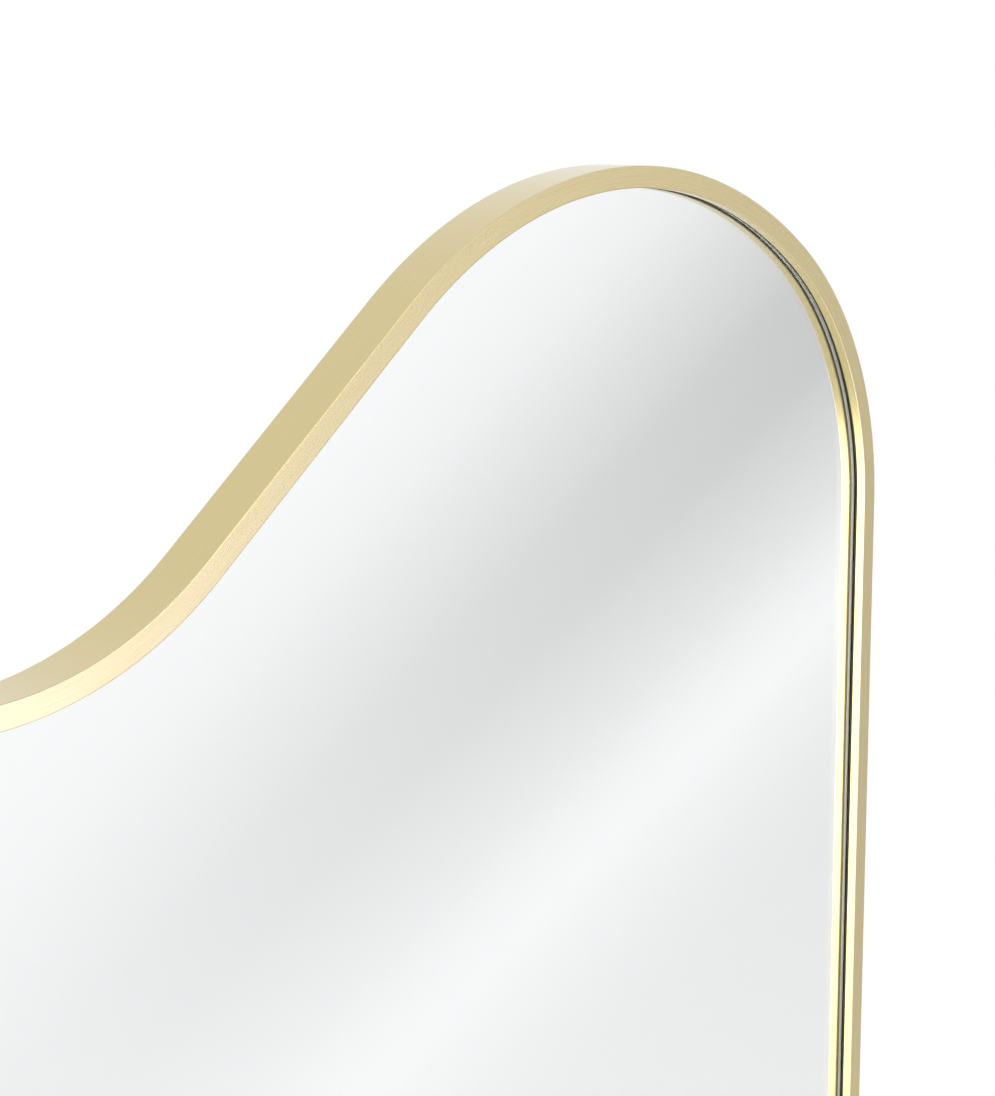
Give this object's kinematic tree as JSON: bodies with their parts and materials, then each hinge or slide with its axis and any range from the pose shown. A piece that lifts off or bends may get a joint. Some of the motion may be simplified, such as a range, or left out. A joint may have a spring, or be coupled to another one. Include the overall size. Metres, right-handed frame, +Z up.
{
  "type": "irregular wall mirror",
  "caption": "Wall mirror with an irregular curved outline in a deep slim metal frame, with back board, stepped rails and swinging D ring hangers.",
  "frame": {"origin": "on the wall, behind the middle of the outline", "axes": "+X to the viewer's right, +Y into the wall, +Z up; the mirror faces -Y"},
  "size_m": [0.8, 0.0275, 1],
  "materials": {
    "gold_profile": "bright brushed, pale gold anodised",
    "mirror": "silvered float glass",
    "black_tape": "closed-cell foam tape, black",
    "edge_rubber": "matt extruded rubber",
    "foam": "grey closed-cell foam",
    "fibreboard": "medium density fibreboard",
    "spring_steel": "blued spring steel",
    "plain_steel": "zinc-plated",
    "rail_steel": "black powder coat",
    "key_metal": "mill finish",
    "ring_steel": "nickel plated",
    "bumper_rubber": "translucent soft rubber"
  },
  "bodies": {
    "mirror_body": {"frame_profile": "gold_profile", "joint_key": "key_metal", "joint_key_screws": "plain_steel", "joint_plate": "plain_steel", "joint_plate_screws": "plain_steel", "glazing_tape": "black_tape", "mirror_glass": "mirror", "glass_edge_blocks": "edge_rubber", "foam_border": "foam", "back_board": "fibreboard", "spring_clips": "spring_steel", "upper_rail": "rail_steel", "lower_rail": "rail_steel", "rail_screws": "plain_steel", "rail_pads": "foam", "upper_left_strap": "plain_steel", "upper_right_strap": "plain_steel", "side_upper_strap": "plain_steel", "side_lower_strap": "plain_steel", "hanger_screws": "plain_steel", "wall_bumpers": "bumper_rubber"},
    "upper_left_ring_body": {"upper_left_ring": "ring_steel"},
    "upper_right_ring_body": {"upper_right_ring": "ring_steel"},
    "side_upper_ring_body": {"side_upper_ring": "ring_steel"},
    "side_lower_ring_body": {"side_lower_ring": "ring_steel"}
  },
  "joints": [
    {"name": "upper_left_ring_swing", "type": "hinge", "parent": "mirror_body", "child": "upper_left_ring_body", "pos_m": [-0.25, -0.00392, 0.14668], "axis": [-1, 0, 0], "range_deg": [0, 175]},
    {"name": "upper_right_ring_swing", "type": "hinge", "parent": "mirror_body", "child": "upper_right_ring_body", "pos_m": [0.25, -0.00392, 0.14668], "axis": [-1, 0, 0], "range_deg": [0, 175]},
    {"name": "side_upper_ring_swing", "type": "hinge", "parent": "mirror_body", "child": "side_upper_ring_body", "pos_m": [-0.34, -0.00392, 0.12668], "axis": [0, 0, -1], "range_deg": [0, 175]},
    {"name": "side_lower_ring_swing", "type": "hinge", "parent": "mirror_body", "child": "side_lower_ring_body", "pos_m": [-0.34, -0.00392, -0.12668], "axis": [0, 0, -1], "range_deg": [0, 175]}
  ]
}
